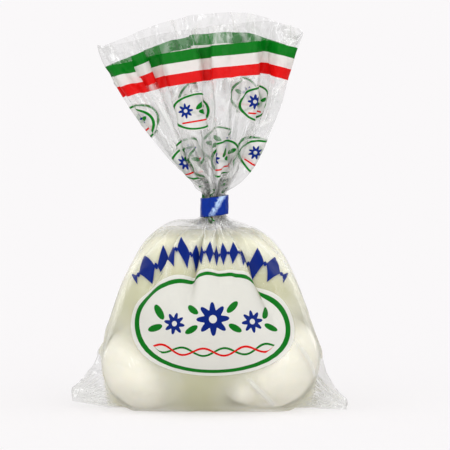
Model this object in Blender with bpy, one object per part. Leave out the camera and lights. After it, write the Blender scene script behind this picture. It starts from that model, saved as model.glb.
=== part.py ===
"""A clear film bag of fresh mozzarella in brine, gathered and closed with a wound tape.

Blender 4.5, metres, +Z up. The front faces -Y, the printed side. The origin is on the surface that the bag
stands on, below the middle of the whole shape. The bag is one closed solid: the filled body with its flat
bottom corners, the gathered neck, and the fan of folded film above the tape. The tape is a wound strip.
"""
import math

import bmesh
import bpy

MM = 0.001

# Where the tape closes the bag.
TAPE_WIDTH = 14 * MM
NECK_BOTTOM = 126 * MM
NECK_TOP = NECK_BOTTOM + TAPE_WIDTH

# The gathered neck inside the tape: an oval.
NECK_X = 3.8 * MM
NECK_HALF_WIDTH = 8.2 * MM
NECK_HALF_DEPTH = 5.9 * MM

# The wound tape.
TAPE_THICKNESS = 0.6 * MM
TAPE_GAP = 0.35 * MM
TAPE_TURNS = 1.35
TAPE_START = math.radians(200)
TAPE_STEPS = 96

# The flat corners that the bottom seal draws out at the sides.
CORNER_HEIGHT = 40 * MM
CORNER_THICKNESS = 1.2 * MM
CORNER_LIFT = 3.5 * MM
SEAL_LEFT = -90 * MM
SEAL_RIGHT = 90 * MM
CORNER_FORWARD = 9 * MM

# Body sections in millimetres: height, left side, right side, half depth. The film is a tube 360 round.
BODY_SECTIONS = (
    (0, -66, 69, 25),
    (4, -69.5, 71.5, 31),
    (11, -72, 73.5, 38.5),
    (22, -72, 74, 45.5),
    (36, -69.5, 72.5, 51),
    (52, -65.8, 69, 55),
    (68, -61, 64.5, 57),
    (84, -56.5, 59.5, 54),
    (97, -52.3, 52.8, 47),
    (107, -47.5, 44.5, 38.5),
    (115, -39.5, 35.5, 29),
    (121, -29, 28.5, 20),
    (124.5, -15, 20, 11.5),
)

# Fan sections in millimetres: distance from the tape along the film, left side, right side, half depth.
FAN_SECTIONS = (
    (5, -8.6, 16.3, 8),
    (12, -14.6, 22.5, 9.5),
    (24, -22.6, 29.8, 11),
    (40, -33.2, 39.2, 12),
    (58, -43.8, 47.1, 12),
    (78, -55, 53.1, 11),
    (98, -64.6, 57.8, 10),
    (118, -72, 61.6, 8),
)

# Folds of the fan: place across the film from 0 at the left side to 1 at the right, depth in millimetres.
FRONT_FOLDS = ((0.24, 6.0), (0.53, 6.5), (0.88, 5.0))
BACK_FOLDS = ((0.16, 5.0), (0.42, 6.0), (0.72, 6.0))
FOLD_WIDTH = 0.035

# Folds of the shoulders below the tape: place across the film, depth in millimetres.
SHOULDER_FRONT = ((0.3, 3.0), (0.5, 4.0), (0.68, 3.0))
SHOULDER_BACK = ((0.34, 3.5), (0.6, 3.5))
SHOULDER_FOLD_WIDTH = 0.05
SHOULDER_BOTTOM = 85 * MM

COLUMNS = 72
ROWS_BETWEEN = 2


def clear_scene():
    for obj in list(bpy.data.objects):
        bpy.data.objects.remove(obj, do_unlink=True)


def material(name, colour, roughness, alpha=1.0):
    made = bpy.data.materials.new(name)
    made.use_nodes = True
    shader = made.node_tree.nodes["Principled BSDF"]
    shader.inputs["Base Color"].default_value = (*colour, 1.0)
    shader.inputs["Roughness"].default_value = roughness
    shader.inputs["Metallic"].default_value = 0.0
    shader.inputs["Alpha"].default_value = alpha
    return made


def ease(start, end, value):
    """0 before start, 1 after end, and a smooth step between them."""
    share = min(max((value - start) / (end - start), 0.0), 1.0)
    return share * share * (3 - 2 * share)


def between(before, start, end, after, share):
    """The value this share of the way from start to end, on a Catmull-Rom curve."""
    slope = end - before
    bend = 2 * before - 5 * start + 4 * end - after
    twist = 3 * start - before - 3 * end + after
    return start + 0.5 * (slope * share + bend * share**2 + twist * share**3)


def refined(sections):
    """The sections with ROWS_BETWEEN more between each two, in metres."""
    rows = []
    for i in range(len(sections) - 1):
        before, after = sections[max(i - 1, 0)], sections[min(i + 2, len(sections) - 1)]
        for step in range(ROWS_BETWEEN + 1):
            share = step / (ROWS_BETWEEN + 1)
            columns = zip(before, sections[i], sections[i + 1], after)
            rows.append([MM * between(*values, share) for values in columns])
    rows.append([MM * value for value in sections[-1]])
    return rows


def across(column):
    """(place across the film from 0 at the left to 1 at the right, -1 on the front or 1 on the back)."""
    share = 2 * column / COLUMNS
    return (share, -1) if share <= 1 else (2 - share, 1)


def fold_depth(place, folds, width):
    """How far the folds draw the film inward at this place across it."""
    return sum(MM * depth * math.exp(-(((place - middle) / width) ** 2)) for middle, depth in folds)


def body_ring(height, left, right, half_depth):
    """One closed section of the filled body: an oval, with the flat corners at its sides low down."""
    corner = 1 - ease(0, CORNER_HEIGHT, height)
    reach_left = left + (SEAL_LEFT - left) * corner
    reach_right = right + (SEAL_RIGHT - right) * corner
    middle, half = (left + right) / 2, (right - left) / 2
    near_neck = ease(SHOULDER_BOTTOM, NECK_BOTTOM - 8 * MM, height)
    near_neck *= 1 - ease(NECK_BOTTOM - 6 * MM, NECK_BOTTOM, height)
    ring = []
    for column in range(COLUMNS):
        place, side = across(column)
        turn = (1 - math.cos(math.pi * place)) / 2
        x = reach_left + (reach_right - reach_left) * turn
        oval = half_depth * max(0.0, 1 - ((x - middle) / half) ** 2) ** (0.5 + 0.45 * corner)
        flat = CORNER_THICKNESS * min(1.0, 40 * min(turn, 1 - turn)) * corner
        folds = fold_depth(place, SHOULDER_FRONT if side < 0 else SHOULDER_BACK, SHOULDER_FOLD_WIDTH)
        y = side * (max(oval, flat) - folds * near_neck)
        y -= CORNER_FORWARD * corner * ease(0.9 * right, SEAL_RIGHT, x)
        lift = CORNER_LIFT * (1 - ease(SEAL_LEFT, 0.95 * left, x)) * corner
        ring.append((x, y, height + lift))
    return ring


def neck_x(place):
    """Where this place across the film passes through the neck."""
    return NECK_X - NECK_HALF_WIDTH * math.cos(math.pi * place)


def neck_ring(height):
    ring = []
    for column in range(COLUMNS):
        place, side = across(column)
        ring.append((neck_x(place), side * NECK_HALF_DEPTH * math.sin(math.pi * place), height))
    return ring


def fan_ring(distance, left, right, half_depth):
    """One closed section of the fan, all of it at the same distance along the film from the tape."""
    open_share = ease(0, 60 * MM, distance)
    ring = []
    for column in range(COLUMNS):
        place, side = across(column)
        rounded = (1 - math.cos(math.pi * place)) / 2
        x = left + (right - left) * (rounded + (place - rounded) * open_share)
        bulge = half_depth * math.sin(math.pi * place) ** (1 - 0.45 * open_share)
        folds = fold_depth(place, FRONT_FOLDS if side < 0 else BACK_FOLDS, FOLD_WIDTH)
        y = side * max(bulge - folds * open_share, 0.35 * bulge)
        sideways = x - neck_x(place)
        rise = math.sqrt(max(distance**2 - sideways**2, (0.3 * distance) ** 2))
        ring.append((x, y, NECK_TOP + rise))
    return ring


def ladder(mesh, ring, facing_down):
    """Closes a ring with quads that run from its front to its back."""
    half = COLUMNS // 2
    for column in range(half):
        back_here, back_next = (COLUMNS - column) % COLUMNS, COLUMNS - column - 1
        corners = [ring[column], ring[column + 1], ring[back_next], ring[back_here]]
        corners = list(dict.fromkeys(corners))
        mesh.faces.new(corners[::-1] if facing_down else corners)


def build_bag(look):
    rings = [body_ring(*row) for row in refined(BODY_SECTIONS)]
    rings += [neck_ring(NECK_BOTTOM + share * TAPE_WIDTH) for share in (0.0, 0.5, 1.0)]
    rings += [fan_ring(*row) for row in refined(FAN_SECTIONS)]
    mesh = bmesh.new()
    loops = [[mesh.verts.new(point) for point in ring] for ring in rings]
    for lower, upper in zip(loops, loops[1:]):
        for column in range(COLUMNS):
            after = (column + 1) % COLUMNS
            mesh.faces.new((lower[column], lower[after], upper[after], upper[column]))
    ladder(mesh, loops[0], facing_down=True)
    ladder(mesh, loops[-1], facing_down=False)
    bmesh.ops.recalc_face_normals(mesh, faces=mesh.faces)
    data = bpy.data.meshes.new("bag")
    mesh.to_mesh(data)
    mesh.free()
    data.materials.append(look)
    data.shade_smooth()
    data.set_sharp_from_angle(angle=math.radians(50))
    bag = bpy.data.objects.new("bag", data)
    bpy.context.scene.collection.objects.link(bag)
    return bag


def build_tape(look):
    """A strip wound round the neck, each turn lying on the one below it."""
    pitch = TAPE_THICKNESS + TAPE_GAP
    mesh = bmesh.new()
    edge = []
    for step in range(TAPE_STEPS + 1):
        turned = TAPE_TURNS * step / TAPE_STEPS
        angle = TAPE_START + 2 * math.pi * turned
        out = TAPE_GAP + TAPE_THICKNESS / 2 + pitch * turned
        x = NECK_X + (NECK_HALF_WIDTH + out) * math.cos(angle)
        y = (NECK_HALF_DEPTH + out) * math.sin(angle)
        edge.append(mesh.verts.new((x, y, NECK_BOTTOM + 0.2 * MM)))
    strip = [mesh.edges.new(pair) for pair in zip(edge, edge[1:])]
    raised = bmesh.ops.extrude_edge_only(mesh, edges=strip)["geom"]
    top = [item for item in raised if isinstance(item, bmesh.types.BMVert)]
    bmesh.ops.translate(mesh, verts=top, vec=(0, 0, TAPE_WIDTH - 0.4 * MM))
    bmesh.ops.recalc_face_normals(mesh, faces=mesh.faces)
    data = bpy.data.meshes.new("tape")
    mesh.to_mesh(data)
    mesh.free()
    data.materials.append(look)
    tape = bpy.data.objects.new("tape", data)
    bpy.context.scene.collection.objects.link(tape)
    wall = tape.modifiers.new("wall", "SOLIDIFY")
    wall.thickness = TAPE_THICKNESS
    wall.offset = 0.0
    wall.use_even_offset = True
    data.shade_smooth()
    data.set_sharp_from_angle(angle=math.radians(40))
    return tape


def main():
    clear_scene()
    build_bag(material("film_and_brine", (0.82, 0.81, 0.70), 0.18))
    build_tape(material("tape", (0.0, 0.045, 0.36), 0.3))


main()
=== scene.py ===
"""Looks for a clear film bag of fresh mozzarella in brine, gathered and closed with a wound tape.

Blender 4.5. The film is a flat printed tube. A small cloth solver fills it, gathers it and lets it settle,
in millimetres. All else is fitted to it: the brine just inside the film, the balls in the brine, and the tape
wound on the gathered neck. The print is drawn by shader nodes on the film's own flat coordinates.
"""
import math

import bmesh
import bpy
import numpy as np
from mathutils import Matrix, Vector, noise


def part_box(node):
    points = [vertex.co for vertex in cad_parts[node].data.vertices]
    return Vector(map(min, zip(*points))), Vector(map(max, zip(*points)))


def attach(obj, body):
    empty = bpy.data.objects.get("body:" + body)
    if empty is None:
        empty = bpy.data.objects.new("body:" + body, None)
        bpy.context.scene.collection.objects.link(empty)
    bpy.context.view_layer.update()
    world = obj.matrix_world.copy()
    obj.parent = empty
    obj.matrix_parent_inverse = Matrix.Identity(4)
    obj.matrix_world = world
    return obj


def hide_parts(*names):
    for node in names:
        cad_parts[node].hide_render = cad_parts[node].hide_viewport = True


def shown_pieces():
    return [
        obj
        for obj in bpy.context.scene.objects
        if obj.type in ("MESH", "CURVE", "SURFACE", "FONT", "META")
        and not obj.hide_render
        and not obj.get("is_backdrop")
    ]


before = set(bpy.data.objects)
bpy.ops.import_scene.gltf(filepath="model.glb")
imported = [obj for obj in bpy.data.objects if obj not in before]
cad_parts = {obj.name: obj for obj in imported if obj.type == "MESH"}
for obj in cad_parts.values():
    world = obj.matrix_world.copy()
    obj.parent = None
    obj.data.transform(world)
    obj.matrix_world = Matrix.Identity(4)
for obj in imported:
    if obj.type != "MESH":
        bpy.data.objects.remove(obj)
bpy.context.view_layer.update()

MM = 0.001
RNG = np.random.default_rng(7)

# ------------------------------------------------------------
# The flat film, in millimetres: a tube 180 wide, sealed across the bottom, cut straight at the top.
# ------------------------------------------------------------
bag_low, bag_high = (np.array(corner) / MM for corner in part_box("bag"))
tape_low, tape_high = (np.array(corner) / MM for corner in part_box("tape"))

FLAT_WIDTH = 180.0
BODY_LENGTH = 180.0
NECK_LENGTH = 14.0
FAN_LENGTH = 122.0
FLAT_LENGTH = BODY_LENGTH + NECK_LENGTH + FAN_LENGTH
FRONT_SLACK = 6.0  # more film in front than behind, so that the back of the fan stands higher
SIDE_SLACK = 3.0  # more film at the left side than at the right

NECK_BOTTOM = tape_low[2] - 0.2
NECK_TOP = tape_high[2] + 0.2
NECK_X = (tape_low[0] + tape_high[0]) / 2
TAPE_MIDDLE = (NECK_TOP - NECK_BOTTOM) / 2
NECK_HALF_WIDTH = 8.2
NECK_HALF_DEPTH = 5.9
NECK_GATHERS = 30

SEAL_LEFT, SEAL_RIGHT = bag_low[0], bag_high[0]
CORNER_LEFT = (-72.7, -2.0, 238.3)  # the fan's two top corners
CORNER_RIGHT = (61.0, 3.0, 246.8)

# The bottom corners, or ears, where the film stays flat: how far they reach along the seal and up the side,
# and for each one its end on the seal, and its outer edge from the tip up at even steps along the film.
EAR_LENGTH = 24.0
EAR_HEIGHT = 60.0
EAR_HOLD = 54.0  # above this the narrow top of the ear is left free
LEFT_EAR = (
    (-66.0, 0.0, 0.3),
    (
        (SEAL_LEFT, 3.0, 4.3),
        (SEAL_LEFT, 3.0, 12.5),
        (-83.0, 2.0, 20.0),
        (-76.0, 1.0, 28.5),
        (-71.5, 0.0, 38.5),
    ),
)
RIGHT_EAR = (
    (67.0, -2.0, 0.3),
    (
        (SEAL_RIGHT, -12.0, 0.3),
        (SEAL_RIGHT, -12.0, 7.0),
        (82.5, -9.0, 14.5),
        (77.0, -5.0, 24.5),
        (73.5, -1.0, 37.0),
    ),
)
EAR_CRUMPLES = ((15.0, 1.7), (7.0, 0.8))  # size and depth of the crumples in the ears
EAR_CREASES = 9  # creases that run in from each tip
EAR_CALM_TOP = 72.0  # below this the film beside the ears is kept smooth while it settles
SHOULDER_LIFT = (8.5, 4.0)  # how far the left and the right shoulder stand up again after they are softened

BRINE_LEVEL = 118.5
GAS_SHARE = 0.3  # the air over the brine presses evenly, as a share of the brine's pressure at the floor
BENDING = 0.05  # how stiffly the film resists being folded double

FILM_GAP = 0.3  # between the film and the brine
SHOULDER_GAP = 0.9  # more of it at the gathered shoulders
BALL_GAP = 1.0  # between the film and a ball
HAZE_REACH = 6.5  # millimetres of brine that let a third of the light straight through
HAZE_LEAST = 1.2  # even where a ball touches the film, a little brine lies over it

# Mozzarella balls: centre, radius, direction and length of the knob, seed.
BALLS = {
    "ball_front_left": ((-39.5, -16.0, 30.5), 29.5, (0.2, 0.1, 0.95), 3.0, 3),
    "ball_front_right": ((38.5, -16.0, 34.5), 33.0, (-0.6, -0.62, -0.5), 8.0, 11),
    "ball_back_left": ((-27.0, 17.0, 77.0), 28.5, (0.4, -0.6, 0.1), 4.0, 23),
    "ball_back_right": ((28.5, 19.0, 80.0), 25.5, (-0.5, -0.5, 0.2), 4.0, 31),
}
KNOB_RADIUS = 12.0
PRESSED = 0.5  # how far the balls' lumps stand out at most, so that the film holds them in

# Where the relaxation starts. Body: height, left side, right side, half depth.
BODY_START = np.array(
    [
        (0, -66, 69, 27),
        (9, -71, 73, 37),
        (20, -72, 74, 43),
        (35, -69, 72.5, 48.5),
        (48, -66, 70, 51),
        (62, -62.5, 66.5, 51),
        (75, -59, 63, 48.5),
        (88, -55.5, 59.5, 45),
        (98, -52, 53, 41),
        (106, -47.5, 45.5, 36),
        (113, -41, 37, 29),
        (119, -31, 29.5, 21),
        (123, -20, 22.5, 13),
        (126, -4.4, 12, 5.9),
    ]
)
# Fan: distance from the tape along the film, left side, right side, half depth.
FAN_START = np.array(
    [
        (0, -4.4, 12, 5.9),
        (9, -12.4, 20.5, 9),
        (16, -17, 25, 10),
        (30, -26.5, 33.5, 11.5),
        (45, -36.5, 42, 12),
        (57, -43, 47, 12),
        (70, -51, 50, 11.5),
        (82, -57, 54, 11),
        (95, -63.5, 57.5, 10),
        (106, -68, 59, 9),
        (122, -72, 61.5, 8),
    ]
)
# Sharp fold lines, in millimetres across and up the flat film: both ends, height and half width.
LONG_CREASES = ((107.0, 70.0, 130.0, 32.0, 1.3, 2.4), (140.0, 88.0, 154.0, 46.0, 1.1, 2.4))
# Fields of random ones: how many, between which heights, shortest and longest, lean, height and half width.
CREASE_FIELDS = (
    (170, (BODY_LENGTH + NECK_LENGTH, FLAT_LENGTH - 10), (14.0, 50.0), 25.0, 0.9, 2.6),
    (60, (115.0, BODY_LENGTH - 15), (12.0, 40.0), 22.0, 0.5, 2.6),
    (60, (10.0, 130.0), (8.0, 26.0), 55.0, 0.25, 2.6),
)

# Pleats of the fan: place across the film from 0 at the left to 1 at the right, and depth.
FRONT_PLEATS = ((0.23, 12.0), (0.52, 11.0), (0.84, 9.0))
BACK_PLEATS = ((0.15, 9.5), (0.42, 11.0), (0.72, 11.0))
PLEAT_SLACK = ((0.23, 7.0), (0.52, 5.0))  # more film drawn into the neck at two pleats of the front

COARSE_COLUMNS, COARSE_ROWS = 144, 123


def smooth(start, end, value):
    """0 before start, 1 after end, and a smooth step between them."""
    share = np.clip((value - start) / (end - start), 0, 1)
    return share * share * (3 - 2 * share)


def softened(points, share, rounds):
    """The points, each drawn by its share towards the mean of its four neighbours, round after round."""
    soft = points.copy()
    for _ in range(rounds):
        around = soft[2:] + soft[:-2] + np.roll(soft, 1, 1)[1:-1] + np.roll(soft, -1, 1)[1:-1]
        soft[1:-1] += share[1:-1, :, None] * (around / 4 - soft[1:-1])
    return soft


def ball_spheres():
    """The centre and radius of each ball and of its knob."""
    for centre, radius, knob, knob_length, _ in BALLS.values():
        centre, knob = np.array(centre), np.array(knob)
        yield centre, radius
        yield centre + knob / np.linalg.norm(knob) * (radius + knob_length - KNOB_RADIUS), KNOB_RADIUS


def push_off_balls(points, gap):
    """Moves every point that is nearer to a ball than the gap straight away from it."""
    for centre, radius in ball_spheres():
        out = points - centre.astype(points.dtype)
        away = np.sqrt(np.einsum("...k,...k->...", out, out))
        points += out * np.maximum((radius + gap) / away - 1, 0)[..., None]


class Sheet:
    """The film as a grid of points.

    Rows run up the film. Columns run round it from the left side, first over the front, then over the back.
    """

    def __init__(self, columns, rows):
        turn = np.arange(columns) * 2.0 / columns
        self.columns, self.rows = columns, rows
        self.step_x = 2 * FLAT_WIDTH / columns
        self.step_y = FLAT_LENGTH / (rows - 1)
        self.front = turn < 1
        self.across = np.where(self.front, turn, 2 - turn)
        self.angle = np.pi * turn
        slack = np.where(self.front, FRONT_SLACK, 0) * np.sin(self.angle) ** 2
        slack = slack + SIDE_SLACK * np.cos(self.angle)
        for place, more in PLEAT_SLACK:
            slack += self.front * more * np.exp(-(((self.across - place) / 0.075) ** 2))
        # Distance up the film, counted so that every column enters the neck at BODY_LENGTH.
        self.up = np.linspace(0, FLAT_LENGTH, rows)[:, None] - slack[None, :]
        self.body = self.up < BODY_LENGTH
        self.fan = self.up > BODY_LENGTH + NECK_LENGTH
        self.neck = ~self.body & ~self.fan
        self.side = np.minimum(self.across, 1 - self.across) * FLAT_WIDTH
        self.from_corner = self.side[None, :] + EAR_LENGTH / EAR_HEIGHT * np.maximum(self.up, 0)
        self.points = np.zeros((rows, columns, 3), np.float32)
        self.free = np.ones((rows, columns), np.float32)

    def shape_body(self):
        height, depth = BODY_START[:, 0], BODY_START[:, 3]
        path = np.concatenate([[depth[0]], depth[0] + np.cumsum(np.hypot(np.diff(height), np.diff(depth)))])
        share = np.clip(self.up / BODY_LENGTH, 0, 1)
        middle_z = np.interp(share * path[-1], path, height)
        bulge = np.abs(np.sin(self.angle)) ** 0.8
        z = share * NECK_BOTTOM * (1 - bulge) + middle_z * bulge
        left, right, half_depth = (np.interp(z, height, BODY_START[:, k]) for k in (1, 2, 3))
        ear = 1 - smooth(0, 45, self.up)
        left += (SEAL_LEFT - left) * ear
        right += (SEAL_RIGHT - right) * ear
        half_depth = np.minimum(half_depth, np.maximum(self.up, 0))
        x = (left + right) / 2 - (right - left) / 2 * np.cos(self.angle)
        return x, -half_depth * np.sin(self.angle), z

    def shape_fan(self):
        out = np.maximum(self.up - BODY_LENGTH - NECK_LENGTH, 0)
        left, right, half_depth = (np.interp(out, FAN_START[:, 0], FAN_START[:, k]) for k in (1, 2, 3))
        flat = smooth(0, 50, out)
        place, inward = self.pleat(smooth(4, 60, out))
        spread = np.cos(self.angle) * (1 - flat) + (1 - 2 * place) * flat
        x = (left + right) / 2 - (right - left) / 2 * spread
        neck_x = NECK_X - NECK_HALF_WIDTH * np.cos(self.angle)
        rise = np.sqrt(np.maximum(out**2 - (x - neck_x) ** 2, (0.3 * out) ** 2))
        return x, inward - half_depth * np.sin(np.pi * place) * np.where(self.front, 1, -1), NECK_TOP + rise

    def pleat(self, share):
        """Folds pleats inward: (place across the fan from 0 at the left to 1 at the right, depth)."""
        shape = np.broadcast_shapes(share.shape, self.across.shape)
        depth, spent = np.zeros(shape), np.zeros(shape)
        for pleats, here in ((FRONT_PLEATS, self.front), (BACK_PLEATS, ~self.front)):
            for place, deepest in pleats:
                reach = np.maximum(0, 1 - np.abs(self.across - place) * FLAT_WIDTH / deepest) * here
                depth += deepest * reach * share
                spent = np.maximum(spent, (reach > 0) * share)
        half = self.columns // 2
        step = 1 - 0.9 * spent
        place = np.zeros(shape)
        for part, sign in ((slice(0, half), 1), (slice(half, None), -1)):
            run = np.cumsum(step[:, part], axis=1) - step[:, part][:, :1]
            run /= run[:, -1:] + step[:, part][:, -1:]
            place[:, part] = run if sign > 0 else 1 - run
        return place, np.where(self.front, 1, -1) * depth

    def shape_neck(self):
        x = NECK_X - NECK_HALF_WIDTH * np.cos(self.angle)
        y = -NECK_HALF_DEPTH * np.sin(self.angle)
        z = NECK_BOTTOM + self.up - BODY_LENGTH
        return np.broadcast_to(x, z.shape), np.broadcast_to(y, z.shape), z

    def buckle_ears(self):
        """The crumples of the flat corners, the same in both layers of film."""
        self.buckle = np.zeros((self.rows, self.columns))
        for size, depth in EAR_CRUMPLES:
            self.buckle += depth * ridges(self.buckle.shape, self.step_x / size, self.step_y / size)
        half = self.columns // 2
        self.buckle[:, half + 1 :] = self.buckle[:, half - 1 : 0 : -1]

    def shape(self):
        """The first guess: the filled shape, with gathers that fade away from the neck."""
        body, fan, neck = self.shape_body(), self.shape_fan(), self.shape_neck()
        for k in range(3):
            self.points[..., k] = np.where(self.body, body[k], np.where(self.fan, fan[k], neck[k]))
        above = np.maximum(self.up - BODY_LENGTH - NECK_LENGTH, 0)
        away = np.where(self.body, BODY_LENGTH - self.up, above)
        gathers = 0
        for count, reach, depth, phase in ((30, 9, 2.4, 0.0), (19, 16, 1.4, 0.9), (13, 25, 0.8, 2.1)):
            uneven = 0.8 * np.sin(2 * self.angle + 3 * phase) + 0.5 * np.sin(3 * self.angle + phase)
            gathers += depth * np.exp(-away / reach) * np.sin(count * self.angle + phase + uneven)
        gathers *= smooth(60, 130, self.up) * ~self.neck
        flat = self.points[..., :2]
        outward = flat - flat.mean(axis=1, keepdims=True)
        outward /= np.linalg.norm(outward, axis=-1, keepdims=True) + 1e-6
        flat += outward * gathers[..., None]

    def hold(self):
        """Fixes what doesn't move: the neck in its tape, the bottom seal and the fan's two top corners."""
        turn = np.arange(self.columns) / self.columns
        radius = 0.28 + 0.72 * np.abs((turn * NECK_GATHERS % 1) * 2 - 1)
        neck_x = NECK_X - NECK_HALF_WIDTH * radius * np.cos(self.angle)
        neck_y = -NECK_HALF_DEPTH * radius * np.sin(self.angle)
        x, y, z = (self.points[..., k] for k in range(3))
        x[self.neck] = np.broadcast_to(neck_x, x.shape)[self.neck]
        y[self.neck] = np.broadcast_to(neck_y, y.shape)[self.neck]
        z[self.neck] = (NECK_BOTTOM + self.up - BODY_LENGTH)[self.neck]
        self.free[self.neck] = 0
        ends = EAR_LENGTH / FLAT_WIDTH, 1 - EAR_LENGTH / FLAT_WIDTH
        for k in range(3):
            self.points[0, :, k] = np.interp(self.across, ends, (LEFT_EAR[0][k], RIGHT_EAR[0][k]))
        self.free[0] = 0
        self.hold_ear(LEFT_EAR, self.across < 0.5)
        self.hold_ear(RIGHT_EAR, self.across > 0.5)
        right = self.columns // 2
        self.points[-1, 0], self.points[-1, right] = CORNER_LEFT, CORNER_RIGHT
        self.free[-1, 0] = self.free[-1, right] = 0

    def hold_ear(self, ear, here):
        """Lays a corner of the film out flat between its outer edge and its end on the seal."""
        on_seal, edge = (np.array(part) for part in ear)
        height = np.linspace(0, FLAT_LENGTH, self.rows)[:, None]
        laid = self.side[None, :] + EAR_LENGTH / EAR_HEIGHT * height < EAR_LENGTH
        laid = laid & (height < EAR_HOLD) & here
        along, up = np.broadcast_arrays(self.side[None, :] / EAR_LENGTH, height / EAR_HEIGHT)
        along, up = along[laid][:, None], up[laid][:, None]
        straight = edge[0] + up * (edge[-1] - edge[0])
        steps = np.linspace(0, 1, len(edge))
        bowed = np.stack([np.interp(up[:, 0], steps, edge[:, k]) for k in range(3)], axis=-1)
        place = straight + (bowed - straight) * (1 - along / (1 - up)) + along * (on_seal - edge[0])
        front = np.broadcast_to(np.where(self.front, -1.0, 1.0), laid.shape)[laid]
        place[:, 1] += self.buckle[laid] * np.minimum(1, 0.35 + 3 * up[:, 0]) + 0.12 * front
        self.points[laid] = place
        self.free[laid] = 0

    def springs(self):
        """Every spring as (points a, points b, how free a is, how free b is, length, bending or not).

        Each entry is a set of springs that share no point, so that they can all be solved at once.
        """
        found = []
        columns, rows = self.columns, self.rows

        def add(a, b, length, bending=False):
            found.append((self.points[a], self.points[b], self.free[a], self.free[b], length, bending))

        every = slice(None)
        last, first = slice(columns - 1, columns), slice(0, 1)
        add((every, slice(0, None, 2)), (every, slice(1, None, 2)), self.step_x)
        add((every, slice(1, -1, 2)), (every, slice(2, None, 2)), self.step_x)
        add((every, last), (every, first), self.step_x)
        diagonal = math.hypot(self.step_x, self.step_y)
        for parity in (0, 1):
            count = (rows - parity) // 2
            lower = slice(parity, parity + 2 * count - 1, 2)
            upper = slice(parity + 1, parity + 2 * count, 2)
            add((lower, every), (upper, every), self.step_y)
            add((lower, slice(0, -1)), (upper, slice(1, None)), diagonal)
            add((lower, last), (upper, first), diagonal)
            add((lower, slice(1, None)), (upper, slice(0, -1)), diagonal)
            add((lower, first), (upper, last), diagonal)
        for start in range(4):
            here, beyond = slice(start, columns - 2, 4), slice(start + 2, columns, 4)
            add((every, here), (every, beyond), 2 * self.step_x, True)
            here, beyond = slice(start, rows - 2, 4), slice(start + 2, rows, 4)
            add((here, every), (beyond, every), 2 * self.step_y, True)
        return found

    def area_normals(self):
        along = np.roll(self.points, -1, 1) - np.roll(self.points, 1, 1)
        up = np.empty_like(self.points)
        up[1:-1] = self.points[2:] - self.points[:-2]
        up[0] = 2 * (self.points[1] - self.points[0])
        up[-1] = 2 * (self.points[-1] - self.points[-2])
        return np.cross(along, up) / (4 * self.step_x * self.step_y)

    def calm_ears(self, strength):
        """In the bag's flat bottom corners the two layers lie together, and only slightly creased."""
        half = self.columns // 2
        front, back = slice(1, half), slice(self.columns - 1, half, -1)
        middle = (self.points[:, front] + self.points[:, back]) / 2
        apart = (self.points[:, front] - self.points[:, back]) / 2
        width = np.linalg.norm(apart, axis=-1) + 1e-6
        past = self.from_corner[:, front] - EAR_LENGTH
        most = 0.25 + 0.8 * np.maximum(past, 0)
        share = np.where((past < 6) & (width > most), most / width, 1)[..., None]
        self.points[:, front] = middle + apart * share
        self.points[:, back] = middle - apart * share
        rows = slice(1, int(EAR_CALM_TOP / self.step_y))
        around = self.points[: rows.stop + 1]
        mean = (around[2:] + around[:-2] + np.roll(around[1:-1], 1, 1) + np.roll(around[1:-1], -1, 1)) / 4
        ear = (1 - smooth(-6, 6, self.from_corner[rows] - EAR_LENGTH)) * strength * self.free[rows]
        self.points[rows] += ear[..., None] * (mean - self.points[rows])

    def crease(self):
        """Raises the sharp fold lines: the long ones in front, and the many short ones at random places."""
        x = 2 * FLAT_WIDTH * np.arange(self.columns) / self.columns
        up = np.linspace(0, FLAT_LENGTH, self.rows)[:, None]
        lines = list(LONG_CREASES)
        for turn in np.radians(np.linspace(6, 84, EAR_CREASES)):
            for tip in (0, FLAT_WIDTH, 2 * FLAT_WIDTH):
                length = RNG.uniform(24, 46)
                for toward in (-1, 1):
                    start = tip + toward * 3.0 * math.cos(turn), 3.0 * math.sin(turn)
                    end = tip + toward * length * math.cos(turn), length * math.sin(turn)
                    lines.append((*start, *end, 0.7, 2.2))
        for count, (low, high), (least, most), lean, depth, width in CREASE_FIELDS:
            for _ in range(count):
                start_x, start_up = RNG.uniform(0, 2 * FLAT_WIDTH), RNG.uniform(low, high)
                length, turn = RNG.uniform(least, most), math.radians(RNG.normal(90, lean))
                end_x, end_up = start_x + length * math.cos(turn), start_up + length * math.sin(turn)
                raised = RNG.choice((-1, 1)) * depth * RNG.uniform(0.3, 1.0)
                lines.append((start_x, start_up, end_x, end_up, raised, width))
        height = np.zeros((self.rows, self.columns))
        # the fold mask also sets where the film is painted whiter, partly as a painted highlight along the
        # folds
        self.fold = np.zeros((self.rows, self.columns))
        for x0, up0, x1, up1, depth, width in lines:
            length = math.hypot(x1 - x0, up1 - up0)
            along = ((x - x0) * (x1 - x0) + (up - up0) * (up1 - up0)) / length
            off = ((x - x0) * (up1 - up0) - (up - up0) * (x1 - x0)) / length
            taper = smooth(0, 0.3 * length, along) * smooth(0, 0.3 * length, length - along)
            crest = taper * np.maximum(0, 1 - np.abs(off) / width)
            height += depth * crest
            self.fold = np.maximum(self.fold, min(1, abs(depth)) * crest)
        self.points += self.outward() * (height * smooth(0, 4, up) * ~self.neck)[..., None]
        np.maximum(self.points[..., 2], 0, out=self.points[..., 2])

    def outward(self):
        normals = self.area_normals()
        return normals / (np.linalg.norm(normals, axis=-1, keepdims=True) + 1e-6)

    def looseness(self):
        """1 where the film isn't stretched: in the fan and the ears, and towards the neck."""
        shoulder = 0.7 * smooth(130, BODY_LENGTH, self.up) * self.body
        ear = 0.8 * (1 - smooth(-4, 4, self.from_corner - EAR_LENGTH))
        return np.maximum(np.maximum(shoulder, ear), self.fan)

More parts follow.
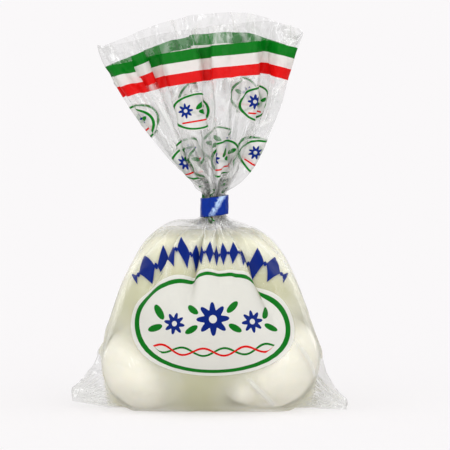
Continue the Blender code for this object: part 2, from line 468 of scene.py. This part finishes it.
    def soften(self):
        """Eases away the deep gathers below the neck, and the bumps beside the flat corners."""
        shoulder = 0.9 * smooth(80, 115, self.up) * (1 - smooth(150, 175, self.up))
        past = self.from_corner - EAR_LENGTH
        beside_ear = 0.8 * smooth(-3, 3, past) * (1 - smooth(12, 24, past)) * (1 - smooth(60, 95, self.up))
        self.points = softened(self.points, np.maximum(shoulder, beside_ear * self.free), 26)
        beside = self.points[..., 0] - NECK_X
        reach = np.abs(beside)
        lifted = smooth(6, 30, reach) * (1 - smooth(45, 66, reach)) * smooth(86, 112, self.points[..., 2])
        self.points[..., 2] += np.where(beside < 0, *SHOULDER_LIFT) * lifted * self.body
        self.keep_off_balls()

    def crumple(self):
        """Small random buckles where the film is loose."""
        loose = self.looseness()
        height = np.zeros(loose.shape)
        for size, depth in ((16.0, 1.1), (8.0, 0.8), (4.0, 0.45)):
            height += depth * ridges(loose.shape, self.step_x / size, 0.6 * self.step_y / size)
        self.points += self.outward() * (height * loose)[..., None]

    def relax(self, rounds, pressure, keep, squeeze, calm):
        """Lets the bag settle: pressure pushes out, springs hold the film's lengths, the floor bears it."""
        springs = self.springs()
        filled = smooth(0, 10, self.from_corner - EAR_LENGTH) * self.body
        speed = np.zeros_like(self.points)
        for _ in range(rounds):
            before = self.points.copy()
            head = np.clip((BRINE_LEVEL - self.points[..., 2]) / BRINE_LEVEL, 0, 1) + GAS_SHARE
            push = self.area_normals() * (head * filled * pressure)[..., None]
            self.points += (speed * keep + push) * self.free[..., None]
            for _ in range(2):
                for *ends, length, bending in springs:
                    stretch, press = (0.0, BENDING) if bending else (1.0, squeeze)
                    pull(*ends, length, stretch, press)
                np.maximum(self.points[..., 2], 0, out=self.points[..., 2])
                self.calm_ears(calm)
            self.keep_off_balls()
            speed = self.points - before

    def keep_off_balls(self):
        push_off_balls(self.points[: int((BODY_LENGTH - 20) / self.step_y)], BALL_GAP)

    def finer(self):
        """A sheet with twice the columns and rows, its new points on smooth curves through the old ones."""
        old = self.points
        halfway = (9 * (old + np.roll(old, -1, 1)) - np.roll(old, 1, 1) - np.roll(old, -2, 1)) / 16
        wide = np.stack([old, halfway], axis=2).reshape(self.rows, -1, 3)
        ends = np.concatenate([2 * wide[:1] - wide[1:2], wide, 2 * wide[-1:] - wide[-2:-1]])
        fine = Sheet(2 * self.columns, 2 * self.rows - 1)
        fine.points[0::2] = wide
        fine.points[1::2] = (9 * (ends[1:-2] + ends[2:-1]) - ends[:-3] - ends[3:]) / 16
        return fine


def ridges(shape, step_x, step_y):
    """Noise between -1 and 1 with sharp crests."""
    return 1 - 2.5 * np.abs(cell_noise(shape, step_x, step_y))


def cell_noise(shape, step_x, step_y):
    """Smooth noise between -1 and 1 over a grid that closes on itself across, one bump to each cell."""
    rows, columns = shape
    cells_x = max(3, round(columns * step_x))
    cells_y = int(rows * step_y) + 3
    knots = RNG.uniform(-1, 1, (cells_y, cells_x))
    x, y = np.arange(columns) * cells_x / columns, np.arange(rows) * step_y
    column, row = x.astype(int), y.astype(int)
    fx, fy = smooth(0, 1, x - column), smooth(0, 1, y - row)[:, None]
    after = (column + 1) % cells_x
    low = knots[row][:, column] * (1 - fx) + knots[row][:, after] * fx
    high = knots[row + 1][:, column] * (1 - fx) + knots[row + 1][:, after] * fx
    return low * (1 - fy) + high * fy


def pull(a, b, free_a, free_b, length, stretch, squeeze):
    """Moves the ends of springs towards their length: by one share if too long, another if too short."""
    gap = b - a
    now = np.sqrt(np.einsum("ijk,ijk->ij", gap, gap)) + 1e-6
    error = 1 - length / now
    error *= np.where(error > 0, stretch, squeeze) / np.maximum(free_a + free_b, 1e-6)
    gap *= error[..., None]
    a += gap * free_a[..., None]
    b -= gap * free_b[..., None]


def fill_bag():
    sheet = Sheet(COARSE_COLUMNS, COARSE_ROWS)
    sheet.buckle_ears()
    sheet.shape()
    sheet.hold()
    sheet.relax(480, pressure=0.02, keep=0.9, squeeze=0.3, calm=0.3)
    fine = sheet.finer()
    fine.buckle_ears()
    fine.crumple()
    fine.hold()
    fine.relax(110, pressure=0.0055, keep=0.8, squeeze=0.5, calm=0.04)
    fine.soften()
    fine.crease()
    return fine


# ------------------------------------------------------------
# Shader trees
# ------------------------------------------------------------
class Value:
    """A number that a shader works out at each point. It adds, multiplies and compares like a number."""

    def __init__(self, tree, socket):
        self.tree, self.socket = tree, socket

    def do(self, operation, *others):
        node = self.tree.nodes.new("ShaderNodeMath")
        node.operation = operation
        for port, value in zip(node.inputs, (self, *others)):
            if isinstance(value, Value):
                self.tree.links.new(value.socket, port)
            else:
                port.default_value = value
        return Value(self.tree, node.outputs[0])

    def __add__(self, other):
        return self.do("ADD", other)

    def __sub__(self, other):
        return self.do("SUBTRACT", other)

    def __mul__(self, other):
        return self.do("MULTIPLY", other)

    def __truediv__(self, other):
        return self.do("DIVIDE", other)

    def abs(self):
        return self.do("ABSOLUTE")

    def below(self, limit):
        return self.do("LESS_THAN", limit)

    def above(self, limit):
        return self.do("GREATER_THAN", limit)

    def between(self, low, high):
        return self.above(low) * self.below(high)

    def wrap(self, low, high):
        return self.do("WRAP", high, low)

    def ramp(self, low, high):
        """0 at low, 1 at high, straight between."""
        node = self.tree.nodes.new("ShaderNodeMapRange")
        self.tree.links.new(self.socket, node.inputs["Value"])
        node.inputs["From Min"].default_value = low
        node.inputs["From Max"].default_value = high
        return Value(self.tree, node.outputs[0])


def either(*masks):
    joined = masks[0]
    for mask in masks[1:]:
        joined = joined.do("MAXIMUM", mask)
    return joined


def ellipse(x, y, half_width, half_height):
    """Below 1 inside the ellipse."""
    return ((x / half_width).do("POWER", 2.0) + (y / half_height).do("POWER", 2.0)).do("SQRT")


def turned(x, y, degrees):
    """The coordinates x, y in a frame that is turned by that angle."""
    cosine, sine = math.cos(math.radians(degrees)), math.sin(math.radians(degrees))
    return x * cosine + y * sine, y * cosine - x * sine


class Look:
    """A material and the nodes in it."""

    def __init__(self, name, world=None):
        self.material = world or bpy.data.materials.new(name)
        self.material.use_nodes = True
        self.tree = self.material.node_tree
        self.tree.nodes.clear()
        self.output = self.tree.nodes.new("ShaderNodeOutputWorld" if world else "ShaderNodeOutputMaterial")

    def node(self, kind, settings=(), **inputs):
        """A new node; inputs are given by name with _ for a space, as a value, a Value or a socket."""
        made = self.tree.nodes.new(kind)
        for name, value in dict(settings).items():
            setattr(made, name, value)
        for name, value in inputs.items():
            port = made.inputs[name.replace("_", " ")]
            if isinstance(value, Value):
                self.tree.links.new(value.socket, port)
            elif isinstance(value, bpy.types.NodeSocket):
                self.tree.links.new(value, port)
            else:
                port.default_value = value
        return made

    def value(self, socket):
        return Value(self.tree, socket)

    def shader_mix(self, share, first, second):
        made = self.tree.nodes.new("ShaderNodeMixShader")
        if isinstance(share, Value):
            self.tree.links.new(share.socket, made.inputs[0])
        else:
            made.inputs[0].default_value = share
        self.tree.links.new(first.outputs[0], made.inputs[1])
        self.tree.links.new(second.outputs[0], made.inputs[2])
        return made

    def colour_mix(self, share, first, second):
        """A colour socket: first where share is 0, second where it is 1."""
        made = self.tree.nodes.new("ShaderNodeMix")
        made.data_type = "RGBA"
        ports = [port for port in made.inputs if port.type == "RGBA"]
        for port, value in zip([made.inputs[0], *ports], (share, first, second)):
            if isinstance(value, Value):
                self.tree.links.new(value.socket, port)
            elif isinstance(value, bpy.types.NodeSocket):
                self.tree.links.new(value, port)
            else:
                port.default_value = value
        return next(port for port in made.outputs if port.type == "RGBA")

    def noise(self, scale, detail=2.0, distortion=0.0):
        made = self.node(
            "ShaderNodeTexNoise",
            Vector=self.node("ShaderNodeTexCoord").outputs["Object"],
            Scale=scale,
            Detail=detail,
            Distortion=distortion,
        )
        return self.value(made.outputs[0])

    def crinkle(self, scale):
        """Sharp-edged facets, as in crumpled film."""
        place = self.node("ShaderNodeTexCoord").outputs["Object"]
        warp = self.node("ShaderNodeTexNoise", Vector=place, Scale=0.35 * scale, Detail=1.0)
        shift = self.node("ShaderNodeVectorMath", {"operation": "MULTIPLY_ADD"})
        self.tree.links.new(warp.outputs["Color"], shift.inputs[0])
        shift.inputs[1].default_value = (1.6 / scale,) * 3
        self.tree.links.new(place, shift.inputs[2])
        cells = self.node("ShaderNodeTexVoronoi", Vector=shift.outputs[0], Scale=scale)
        return self.value(cells.outputs["Distance"])

    def bump(self, height, distance, strength=1.0):
        made = self.node("ShaderNodeBump", Strength=strength, Distance=distance)
        self.tree.links.new(height.socket, made.inputs["Height"])
        return made.outputs[0]

    def finish(self, shader):
        self.tree.links.new(shader.outputs[0], self.output.inputs["Surface"])
        return self.material


def srgb(red, green, blue):
    """A colour given as it shows on a screen, 0 to 255, as the linear colour that shaders take."""
    def linear(value):
        value /= 255
        return value / 12.92 if value <= 0.04045 else ((value + 0.055) / 1.055) ** 2.4

    return (linear(red), linear(green), linear(blue), 1.0)


WHITE_INK = srgb(231, 230, 227)
GREEN_INK = srgb(4, 122, 26)
RED_INK = srgb(224, 18, 18)
BLUE_INK = srgb(4, 38, 130)

# The print, in millimetres on the flat film.
BAND_MARGIN = 13.0  # clear film above the striped band
BAND_STRIPE = 7.3
LABEL_X, LABEL_UP = 92.0, 103.0
LABEL_HALF_WIDTH, LABEL_HALF_HEIGHT = 57.5, 36.0
BADGE_PITCH_X, BADGE_PITCH_Y = 72.0, 34.0
BADGE_HALF_WIDTH, BADGE_HALF_HEIGHT = 21.0, 12.5
BADGE_LOWEST = FLAT_LENGTH - BAND_MARGIN - 3 * BAND_STRIPE - 2.0 - 3 * BADGE_PITCH_Y


def rosette(x, y, radius, petals):
    """A flower with round petals."""
    angle = y.do("ARCTAN2", x)
    edge = (angle * petals).do("COSINE") * (0.22 * radius) + 0.78 * radius
    away = ellipse(x, y, 1.0, 1.0)
    return away.do("LESS_THAN", edge) * away.above(0.24 * radius)


def leaf(x, y, at_x, at_y, length, width, degrees):
    along, across = turned(x - at_x, y - at_y, degrees)
    return ellipse(along, across, length / 2, width / 2).below(1.0)


def print_masks(look):
    """(ink share, ink colour socket) of the film's print, drawn on the flat film."""
    uv_map = look.node("ShaderNodeUVMap", {"uv_map": "OFBake"})
    flat = look.node("ShaderNodeSeparateXYZ", Vector=uv_map.outputs[0])
    round_tube = look.value(flat.outputs[0]) * (2 * FLAT_WIDTH)
    up = look.value(flat.outputs[1]) * FLAT_LENGTH
    in_front = round_tube.below(FLAT_WIDTH)

    down = (up * -1.0) + (FLAT_LENGTH - BAND_MARGIN)
    band_green = down.between(0.0, BAND_STRIPE)
    band_white = down.between(BAND_STRIPE, 2 * BAND_STRIPE)
    band_red = down.between(2 * BAND_STRIPE, 3 * BAND_STRIPE)

    # Badges in staggered rows on the fan.
    row = ((up - BADGE_LOWEST) / BADGE_PITCH_Y).do("FLOOR")
    badge_y = (up - BADGE_LOWEST) - row * BADGE_PITCH_Y - BADGE_PITCH_Y / 2
    badge_x = (round_tube + row * (BADGE_PITCH_X / 2)).wrap(-BADGE_PITCH_X / 2, BADGE_PITCH_X / 2)
    on_fan = row.between(-0.5, 2.5)
    badge_round = ellipse(badge_x, badge_y, BADGE_HALF_WIDTH, BADGE_HALF_HEIGHT)
    badge = badge_round.below(1.0) * on_fan
    badge_rim = badge_round.between(0.84, 0.94) * on_fan
    badge_flower = rosette(badge_x + 8.0, badge_y - 1.5, 5.0, 8) * on_fan
    badge_leaf = either(
        leaf(badge_x, badge_y, 2.5, 3.6, 8.0, 3.2, 30),
        leaf(badge_x, badge_y, 4.5, -0.8, 8.0, 3.2, -10),
        leaf(badge_x, badge_y, 12.0, 2.2, 7.0, 2.8, 20),
    ) * on_fan
    badge_red = badge_x.abs().below(12.0) * (badge_y + 6.2).abs().below(0.55) * on_fan

    # The label on the front of the body.
    x = round_tube - LABEL_X
    y = up - LABEL_UP
    side = x.abs()
    label_round = ellipse(x, y, LABEL_HALF_WIDTH, LABEL_HALF_HEIGHT)
    label = label_round.below(1.0) * in_front
    rim = label_round.between(0.87, 0.94)
    flowers = either(rosette(x, y - 3.0, 10.5, 8), rosette(side - 25.0, y + 1.0, 7.0, 8))
    leaves = either(
        leaf(side, y, 13.5, 9.5, 10.0, 4.2, 35),
        leaf(side, y, 13.5, -3.5, 9.0, 4.0, -35),
        leaf(side, y, 37.0, 3.5, 11.0, 4.6, 40),
        leaf(side, y, 37.0, -6.5, 10.0, 4.2, -30),
    )
    swing = (x * 0.26).do("SINE") * 2.6
    braid = side.below(38.0) * label_round.below(0.8)
    wave_red = (y + 18.5 + swing).abs().below(0.75) * braid
    wave_green = (y + 18.5 - swing).abs().below(0.75) * braid

    # An arc of lozenges over the label.
    turn = y.do("ARCTAN2", x) * (180 / math.pi)
    step = 10.0
    bead = (turn - 90.0).wrap(-step / 2, step / 2)
    arc_out = (label_round - 1.36) * (LABEL_HALF_HEIGHT * 1.08)
    lozenge = (bead.abs() / (0.44 * step) + arc_out.abs() / 9.8).below(1.0)
    small = ellipse((turn - 90.0 + step / 2).wrap(-step / 2, step / 2), arc_out, 0.9, 1.6).below(1.0)
    arc = either(lozenge, small) * turn.between(12.0, 168.0) * in_front

    in_label = label_round.below(0.87) * in_front
    blue = either(badge_flower, flowers * in_label, arc)
    label_green = either(rim * in_front, leaves * in_label, wave_green * in_label)
    green = either(band_green, badge_rim, badge_leaf, label_green)
    red = either(band_red, badge_red, wave_red * in_label)
    ink = either(badge * 0.6, label, band_white, blue, green, red)
    colour = look.colour_mix(blue, WHITE_INK, BLUE_INK)
    colour = look.colour_mix(green, colour, GREEN_INK)
    colour = look.colour_mix(red, colour, RED_INK)
    return ink, colour


def film_look():
    look = Look("film")
    loose = look.value(look.node("ShaderNodeAttribute", {"attribute_name": "loose"}).outputs["Fac"])
    waves = look.noise(55.0, distortion=1.5) + look.noise(170.0, distortion=1.5) * 0.25
    crinkles = look.crinkle(60.0) + look.crinkle(150.0) * 0.5
    creases = look.bump(waves + crinkles * (loose * 1.5 + 0.2), 0.0012, 0.6)
    facing = look.value(look.node("ShaderNodeLayerWeight", Blend=0.5, Normal=creases).outputs["Facing"])
    reflecting = facing.do("POWER", 5.0) * 0.2 + loose * 0.075 + 0.025
    thin = look.colour_mix(loose, (0.972, 0.97, 0.967, 1.0), (0.915, 0.915, 0.912, 1.0))
    clear = look.node("ShaderNodeBsdfTransparent", Color=thin)
    milky = look.node(
        "ShaderNodeBsdfPrincipled",
        Base_Color=srgb(222, 222, 219),
        Roughness=0.4,
        Normal=creases,
    )
    shine = look.node(
        "ShaderNodeBsdfPrincipled",
        Base_Color=srgb(247, 248, 250),
        Metallic=1.0,
        Roughness=0.1,
        Normal=creases,
    )
    # whiter film along the sharp fold lines: partly the film's own whitening at a fold, partly a painted
    # highlight standing for light glinting off the folds
    fold = look.value(look.node("ShaderNodeAttribute", {"attribute_name": "fold"}).outputs["Fac"])
    bare = look.shader_mix(reflecting, look.shader_mix(fold * 0.6 + 0.05, clear, milky), shine)
    ink, colour = print_masks(look)
    top = look.node("ShaderNodeBsdfPrincipled", Base_Color=colour, Roughness=0.3, Normal=creases)
    top.inputs["Specular IOR Level"].default_value = 0.15
    through = look.node("ShaderNodeBsdfTranslucent", Color=colour, Normal=creases)
    return look.finish(look.shader_mix(ink * 0.99, bare, look.shader_mix(0.45, top, through)))


def brine_look():
    look = Look("brine")
    haze = look.value(look.node("ShaderNodeAttribute", {"attribute_name": "haze"}).outputs["Fac"])
    depth_and_shade = look.value(look.node("ShaderNodeAttribute", {"attribute_name": "depth_and_shade"}).outputs["Fac"])
    clouds = look.noise(38.0, detail=3.0, distortion=0.8)
    # pale cream near the balls is a painted glow of the light they scatter; dark olive where the whey is deep
    # is partly its own colour, partly painted shade where little light reaches
    share = depth_and_shade * 0.85 + clouds * 0.3 - 0.1
    colour = look.colour_mix(share, srgb(219, 217, 197), srgb(176, 175, 141))
    whey = look.node("ShaderNodeBsdfPrincipled", Base_Color=colour, Roughness=0.45, IOR=1.34)
    whey.inputs["Specular IOR Level"].default_value = 0.15
    whey.inputs["Subsurface Weight"].default_value = 0.6
    whey.inputs["Subsurface Radius"].default_value = (0.014, 0.012, 0.009)
    whey.inputs["Subsurface Scale"].default_value = 1.0
    clear = look.node("ShaderNodeBsdfTransparent", Color=(0.978, 0.977, 0.955, 1.0))
    return look.finish(look.shader_mix(haze + (clouds - 0.5) * 0.12, clear, whey))


def cheese_look():
    look = Look("cheese")
    grain = look.noise(900.0, detail=4.0)
    folds = look.noise(120.0, detail=3.0, distortion=1.5)
    colour = look.colour_mix(folds, srgb(251, 250, 247), srgb(245, 241, 233))
    cheese = look.node(
        "ShaderNodeBsdfPrincipled",
        Base_Color=colour,
        Roughness=0.42,
        Normal=look.bump(grain * 0.3 + folds, 0.0008, 0.6),
    )
    cheese.inputs["Subsurface Weight"].default_value = 0.15
    cheese.inputs["Subsurface Radius"].default_value = (0.006, 0.005, 0.003)
    cheese.inputs["Subsurface Scale"].default_value = 0.6
    return look.finish(cheese)


def tape_look():
    """Blue tape, with a painted highlight in front: a pale slanting streak that stands for light glaring off
    a wrinkle.
    """
    look = Look("tape")
    streaks = look.noise(260.0, detail=3.0, distortion=2.0)
    colour = look.colour_mix(streaks, srgb(0, 45, 146), srgb(0, 30, 106))
    place = look.node("ShaderNodeSeparateXYZ", Vector=look.node("ShaderNodeTexCoord").outputs["Object"])
    x, y, z = (look.value(place.outputs[k]) / MM for k in range(3))
    up = z - NECK_BOTTOM
    slant = (x - NECK_X - 1.5) - (up - TAPE_MIDDLE) * 0.55 + (streaks - 0.5) * 5.0
    # painted highlight: the pale blue streak stands for the glare of light off a wrinkle in the tape
    painted_glare = slant.abs().ramp(2.6, 0.8) * y.below(0.0) * (streaks * 1.6 + up * 0.03).ramp(0.6, 1.1)
    tape = look.node(
        "ShaderNodeBsdfPrincipled",
        Base_Color=look.colour_mix(painted_glare, colour, srgb(168, 192, 222)),
        Roughness=0.34,
        Normal=look.bump(streaks, 0.0006, 0.7),
    )
    tape.inputs["Specular IOR Level"].default_value = 0.12
    return look.finish(tape)


# ------------------------------------------------------------
# Pieces
# ------------------------------------------------------------
def add_piece(name, mesh, look, node):
    """Puts a finished mesh, in metres, into the scene as a piece of the object."""
    mesh.materials.append(look)
    mesh.shade_smooth()
    piece = bpy.data.objects.new(name, mesh)
    bpy.context.scene.collection.objects.link(piece)
    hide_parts(node)
    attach(piece, "root")
    return piece


def grid_faces(rows, columns):
    """The quads of a closed tube of points, row by row."""
    index = np.arange(rows * columns).reshape(rows, columns)
    after = np.roll(index, -1, 1)
    return np.stack([index[:-1], after[:-1], after[1:], index[1:]], axis=-1).reshape(-1, 4)


def build_film(sheet):
    rows, columns = sheet.rows, sheet.columns
    mesh = bpy.data.meshes.new("film")
    mesh.from_pydata((sheet.points.reshape(-1, 3) * MM).tolist(), [], grid_faces(rows, columns).tolist())
    left = np.broadcast_to(np.arange(columns) / columns, (rows - 1, columns))
    right = left + 1 / columns
    low = np.broadcast_to(np.arange(rows - 1)[:, None] / (rows - 1), (rows - 1, columns))
    high = low + 1 / (rows - 1)
    corners = [np.stack(pair, axis=-1) for pair in ((left, low), (right, low), (right, high), (left, high))]
    mesh.attributes.new("loose", "FLOAT", "POINT").data.foreach_set("value", sheet.looseness().ravel())
    mesh.attributes.new("fold", "FLOAT", "POINT").data.foreach_set("value", sheet.fold.ravel())
    layer = mesh.uv_layers.new(name="OFBake")
    layer.data.foreach_set("uv", np.stack(corners, axis=2).astype(np.float32).ravel())
    return add_piece("film", mesh, film_look(), "bag")


def build_ball(name, look):
    centre, radius, knob, knob_length, seed = BALLS[name]
    mesh = bmesh.new()
    bmesh.ops.create_icosphere(mesh, subdivisions=5, radius=1.0)
    knob = Vector(knob).normalized()
    shift = Vector((seed, 2 * seed, 3 * seed))
    for vert in mesh.verts:
        out = vert.co.normalized()
        lumps = noise.fractal(out * 1.1 + shift, 1.0, 2.0, 3) * 1.6
        fine = noise.fractal(out * 6.0 + shift, 0.9, 2.0, 3) * 0.25
        to_knob = math.degrees(out.angle(knob))
        bump = knob_length * math.exp(-((to_knob / 24) ** 2)) - 0.9 * math.exp(-(((to_knob - 44) / 9) ** 2))
        vert.co = out * (radius + min(lumps + fine, PRESSED) + bump)
        vert.co.z *= 0.97
    bmesh.ops.translate(mesh, verts=mesh.verts, vec=centre)
    bmesh.ops.scale(mesh, verts=mesh.verts, vec=(MM, MM, MM))
    data = bpy.data.meshes.new(name)
    mesh.to_mesh(data)
    mesh.free()
    return add_piece(name, data, look, "bag")


def build_brine(sheet):
    """The brine fills the film up to its level, just inside it."""
    mirror = (-np.arange(sheet.columns)) % sheet.columns
    rows = int(np.argmax((sheet.up > BODY_LENGTH).all(axis=1)))
    film = softened(sheet.points, 0.8 * smooth(85, 125, sheet.up), 8)[:rows].astype(np.float64)
    middle = (film + film[:, mirror]) / 2
    thickness = np.linalg.norm(film - middle, axis=-1)
    gap = FILM_GAP + SHOULDER_GAP * smooth(85, 125, sheet.up[:rows])
    share = np.maximum(0, 1 - gap / np.maximum(thickness, 1e-6))
    shell = middle + (film - middle) * share[..., None]
    push_off_balls(shell, BALL_GAP - FILM_GAP)
    faces = grid_faces(rows, sheet.columns)
    inside = (thickness > 0.5) & (sheet.from_corner[:rows] > EAR_LENGTH - 1.5)
    wet = inside.ravel()[faces].any(axis=1)
    data = bpy.data.meshes.new("brine")
    data.from_pydata(shell.reshape(-1, 3).tolist(), [], faces[wet].tolist())
    data.attributes.new("thickness", "FLOAT", "POINT").data.foreach_set("value", 2 * thickness.ravel())
    mesh = bmesh.new()
    mesh.from_mesh(data)
    bmesh.ops.delete(mesh, geom=[vert for vert in mesh.verts if not vert.link_faces], context="VERTS")
    bmesh.ops.remove_doubles(mesh, verts=mesh.verts, dist=0.02)
    bmesh.ops.bisect_plane(
        mesh,
        geom=mesh.verts[:] + mesh.edges[:] + mesh.faces[:],
        plane_co=(0, 0, BRINE_LEVEL),
        plane_no=(0, 0, 1),
        clear_outer=True,
        dist=1e-4,
    )
    cut = BRINE_LEVEL - 0.01
    rim = [edge for edge in mesh.edges if edge.is_boundary and all(end.co.z > cut for end in edge.verts)]
    bmesh.ops.triangle_fill(mesh, edges=rim, use_beauty=True, normal=(0, 0, 1))
    thick = mesh.verts.layers.float["thickness"]
    haze, depth_and_shade = mesh.verts.layers.float.new("haze"), mesh.verts.layers.float.new("depth_and_shade")
    spheres = [(Vector(centre), radius) for centre, radius in ball_spheres()]
    for vert in mesh.verts:
        to_ball = max(0.0, min((vert.co - centre).length - radius for centre, radius in spheres))
        settled = 1 - 0.7 * smooth(BRINE_LEVEL - 8, BRINE_LEVEL - 1, vert.co.z)
        # how deep the whey is, with painted shade: darkest where it is thick and far from the balls, and the
        # painted shade fades out towards the top
        upper = 1 - 0.8 * smooth(85, 114, vert.co.z)
        vert[haze] = settled * (1 - math.exp(-min(to_ball + HAZE_LEAST, vert[thick]) / HAZE_REACH))
        vert[depth_and_shade] = smooth(0, 16, to_ball) * smooth(6, 50, vert[thick]) * upper
    bmesh.ops.recalc_face_normals(mesh, faces=mesh.faces)
    bmesh.ops.scale(mesh, verts=mesh.verts, vec=(MM, MM, MM))
    mesh.to_mesh(data)
    mesh.free()
    return add_piece("brine", data, brine_look(), "bag")


TAPE_TURNS = 1.6
TAPE_START = math.radians(215)
TAPE_STEPS = 260
TAPE_ROWS = 14


def build_tape(look):
    """A strip wound round the neck, creased where it bridges the gathers."""
    width = tape_high[2] - tape_low[2]
    points, faces = [], []
    for step in range(TAPE_STEPS + 1):
        turned_by = TAPE_TURNS * step / TAPE_STEPS
        angle = TAPE_START + 2 * math.pi * turned_by
        out = 0.5 + 0.35 * turned_by
        slant = 1.1 * math.cos(angle)
        for row in range(TAPE_ROWS + 1):
            share = row / TAPE_ROWS
            place = Vector((3 * math.cos(angle), 3 * math.sin(angle), 2.2 * share + 5 * turned_by))
            crease = 0.28 * noise.noise(place * 1.6) + 0.5 * noise.noise(place * Vector((1, 1, 0.25)) * 0.9)
            ragged = 0.3 * noise.noise(place * 2.5) if row in (0, TAPE_ROWS) else 0.0
            points.append(
                (
                    NECK_X + (NECK_HALF_WIDTH + out + crease) * math.cos(angle),
                    (NECK_HALF_DEPTH + out + crease) * math.sin(angle),
                    tape_low[2] + 0.7 + slant + (width - 1.4) * share + ragged,
                )
            )
    across = TAPE_ROWS + 1
    for step in range(TAPE_STEPS):
        for row in range(TAPE_ROWS):
            corner = step * across + row
            faces.append((corner, corner + across, corner + across + 1, corner + 1))
    mesh = bpy.data.meshes.new("tape_strip")
    mesh.from_pydata([Vector(point) * MM for point in points], [], faces)
    strip = add_piece("tape_strip", mesh, look, "tape")
    wall = strip.modifiers.new("wall", "SOLIDIFY")
    wall.thickness = 0.15 * MM
    wall.offset = 0.0
    return strip


BACKDROP = srgb(250, 248, 249)
ROOM_LIGHT, ROOM_LEAN = 0.86, 0.45  # the light from all round, and how much more of it comes from in front
# What glossy surfaces mirror: a room, dim in front and bright behind, with strips at the sides and above.
ROOM_FRONT, ROOM_BACK, ROOM_STRIPS = 0.14, 1.0, 2.6
FLOOR_MATT = 0.45  # share of the floor's brightness that comes from light falling on it


def add_floor():
    """A pale floor that reaches the horizon, glowing a little, so that shadows on it stay pale."""
    mesh = bmesh.new()
    bmesh.ops.create_grid(mesh, x_segments=1, y_segments=1, size=80)
    data = bpy.data.meshes.new("floor")
    mesh.to_mesh(data)
    mesh.free()
    floor = bpy.data.objects.new("floor", data)
    bpy.context.scene.collection.objects.link(floor)
    look = Look("floor")
    lit_part = (*(FLOOR_MATT / ROOM_LIGHT * channel for channel in BACKDROP[:3]), 1.0)
    matt = look.node("ShaderNodeBsdfDiffuse", Color=lit_part)
    glow = look.node("ShaderNodeEmission", Color=BACKDROP, Strength=1 - FLOOR_MATT)
    both = look.node("ShaderNodeAddShader")
    look.tree.links.new(matt.outputs[0], both.inputs[0])
    look.tree.links.new(glow.outputs[0], both.inputs[1])
    data.materials.append(look.finish(both))
    floor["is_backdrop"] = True


def softbox(name, place, aim, size, power, lit):
    """A soft light on the objects in the collection lit."""
    light = bpy.data.lights.new(name, "AREA")
    light.shape = "RECTANGLE"
    light.size, light.size_y = size
    light.energy = power
    lamp = bpy.data.objects.new(name, light)
    bpy.context.scene.collection.objects.link(lamp)
    lamp.location = place
    lamp.rotation_euler = (Vector(aim) - Vector(place)).to_track_quat("-Z", "Y").to_euler()
    lamp.light_linking.receiver_collection = lit
    lamp.visible_glossy = False


def set_world():
    """A white studio: even light from all round, and a structured room in the reflections."""
    world = bpy.data.worlds.new("studio")
    bpy.context.scene.world = world
    world.use_nodes = True
    look = Look("studio", world)
    way = look.node("ShaderNodeSeparateXYZ", Vector=look.node("ShaderNodeTexCoord").outputs["Generated"])
    x, y, z = (look.value(way.outputs[k]) for k in range(3))
    sides = (x.abs() - 0.6).abs().ramp(0.14, 0.04) * z.ramp(-0.2, 0.05)
    above = (z - 0.62).abs().ramp(0.12, 0.03)
    strips = either(sides, above * 0.45) * ROOM_STRIPS
    room = y.ramp(-0.3, 0.4) * (ROOM_BACK - ROOM_FRONT) + ROOM_FRONT + strips
    ray = look.node("ShaderNodeLightPath").outputs
    mirrored = look.value(ray["Is Glossy Ray"])
    even = y * -ROOM_LEAN + ROOM_LIGHT
    strength = room * mirrored + (mirrored * -1.0 + 1.0) * even
    light = look.node("ShaderNodeBackground", Color=(1.0, 1.0, 1.0, 1.0), Strength=strength)
    backdrop = look.node("ShaderNodeBackground", Color=BACKDROP)
    look.finish(look.shader_mix(look.value(ray["Is Camera Ray"]), light, backdrop))


CAMERA_DISTANCE = 2.4
CAMERA_ELEVATION = math.radians(4)
CAMERA_AIM = Vector((0.0105, 0.0, 0.1205))
VIEW_WIDTH = 0.29475


def add_camera():
    data = bpy.data.cameras.new("camera")
    data.sensor_width = 36
    data.lens = 36 * CAMERA_DISTANCE / VIEW_WIDTH
    camera = bpy.data.objects.new("camera", data)
    bpy.context.scene.collection.objects.link(camera)
    back = Vector((0, -math.cos(CAMERA_ELEVATION), math.sin(CAMERA_ELEVATION)))
    camera.location = CAMERA_AIM + back * CAMERA_DISTANCE
    camera.rotation_euler = (-back).to_track_quat("-Z", "Y").to_euler()
    bpy.context.scene.camera = camera


def main():
    bpy.context.scene.view_settings.view_transform = "Standard"
    bpy.context.scene.cycles.transparent_max_bounces = 48
    add_camera()
    sheet = fill_bag()
    build_film(sheet)
    build_brine(sheet)
    cheese = cheese_look()
    for name in BALLS:
        build_ball(name, cheese)
    build_tape(tape_look())
    add_floor()
    set_world()
    lit = bpy.data.collections.new("lit")
    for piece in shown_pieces():
        lit.objects.link(piece)
    softbox("key", (-0.4, -1.2, 1.1), (0, 0, 0.12), (0.9, 0.9), 12, lit)
    softbox("fill", (0.9, -1.0, 0.4), (0, 0, 0.12), (0.45, 0.9), 3, lit)
    softbox("top", (0.0, 0.3, 1.2), (0, 0, 0.12), (0.8, 0.5), 1.6, lit)
    softbox("back", (0.3, 1.3, 0.7), (0, 0, 0.12), (0.9, 0.9), 4, lit)


main()
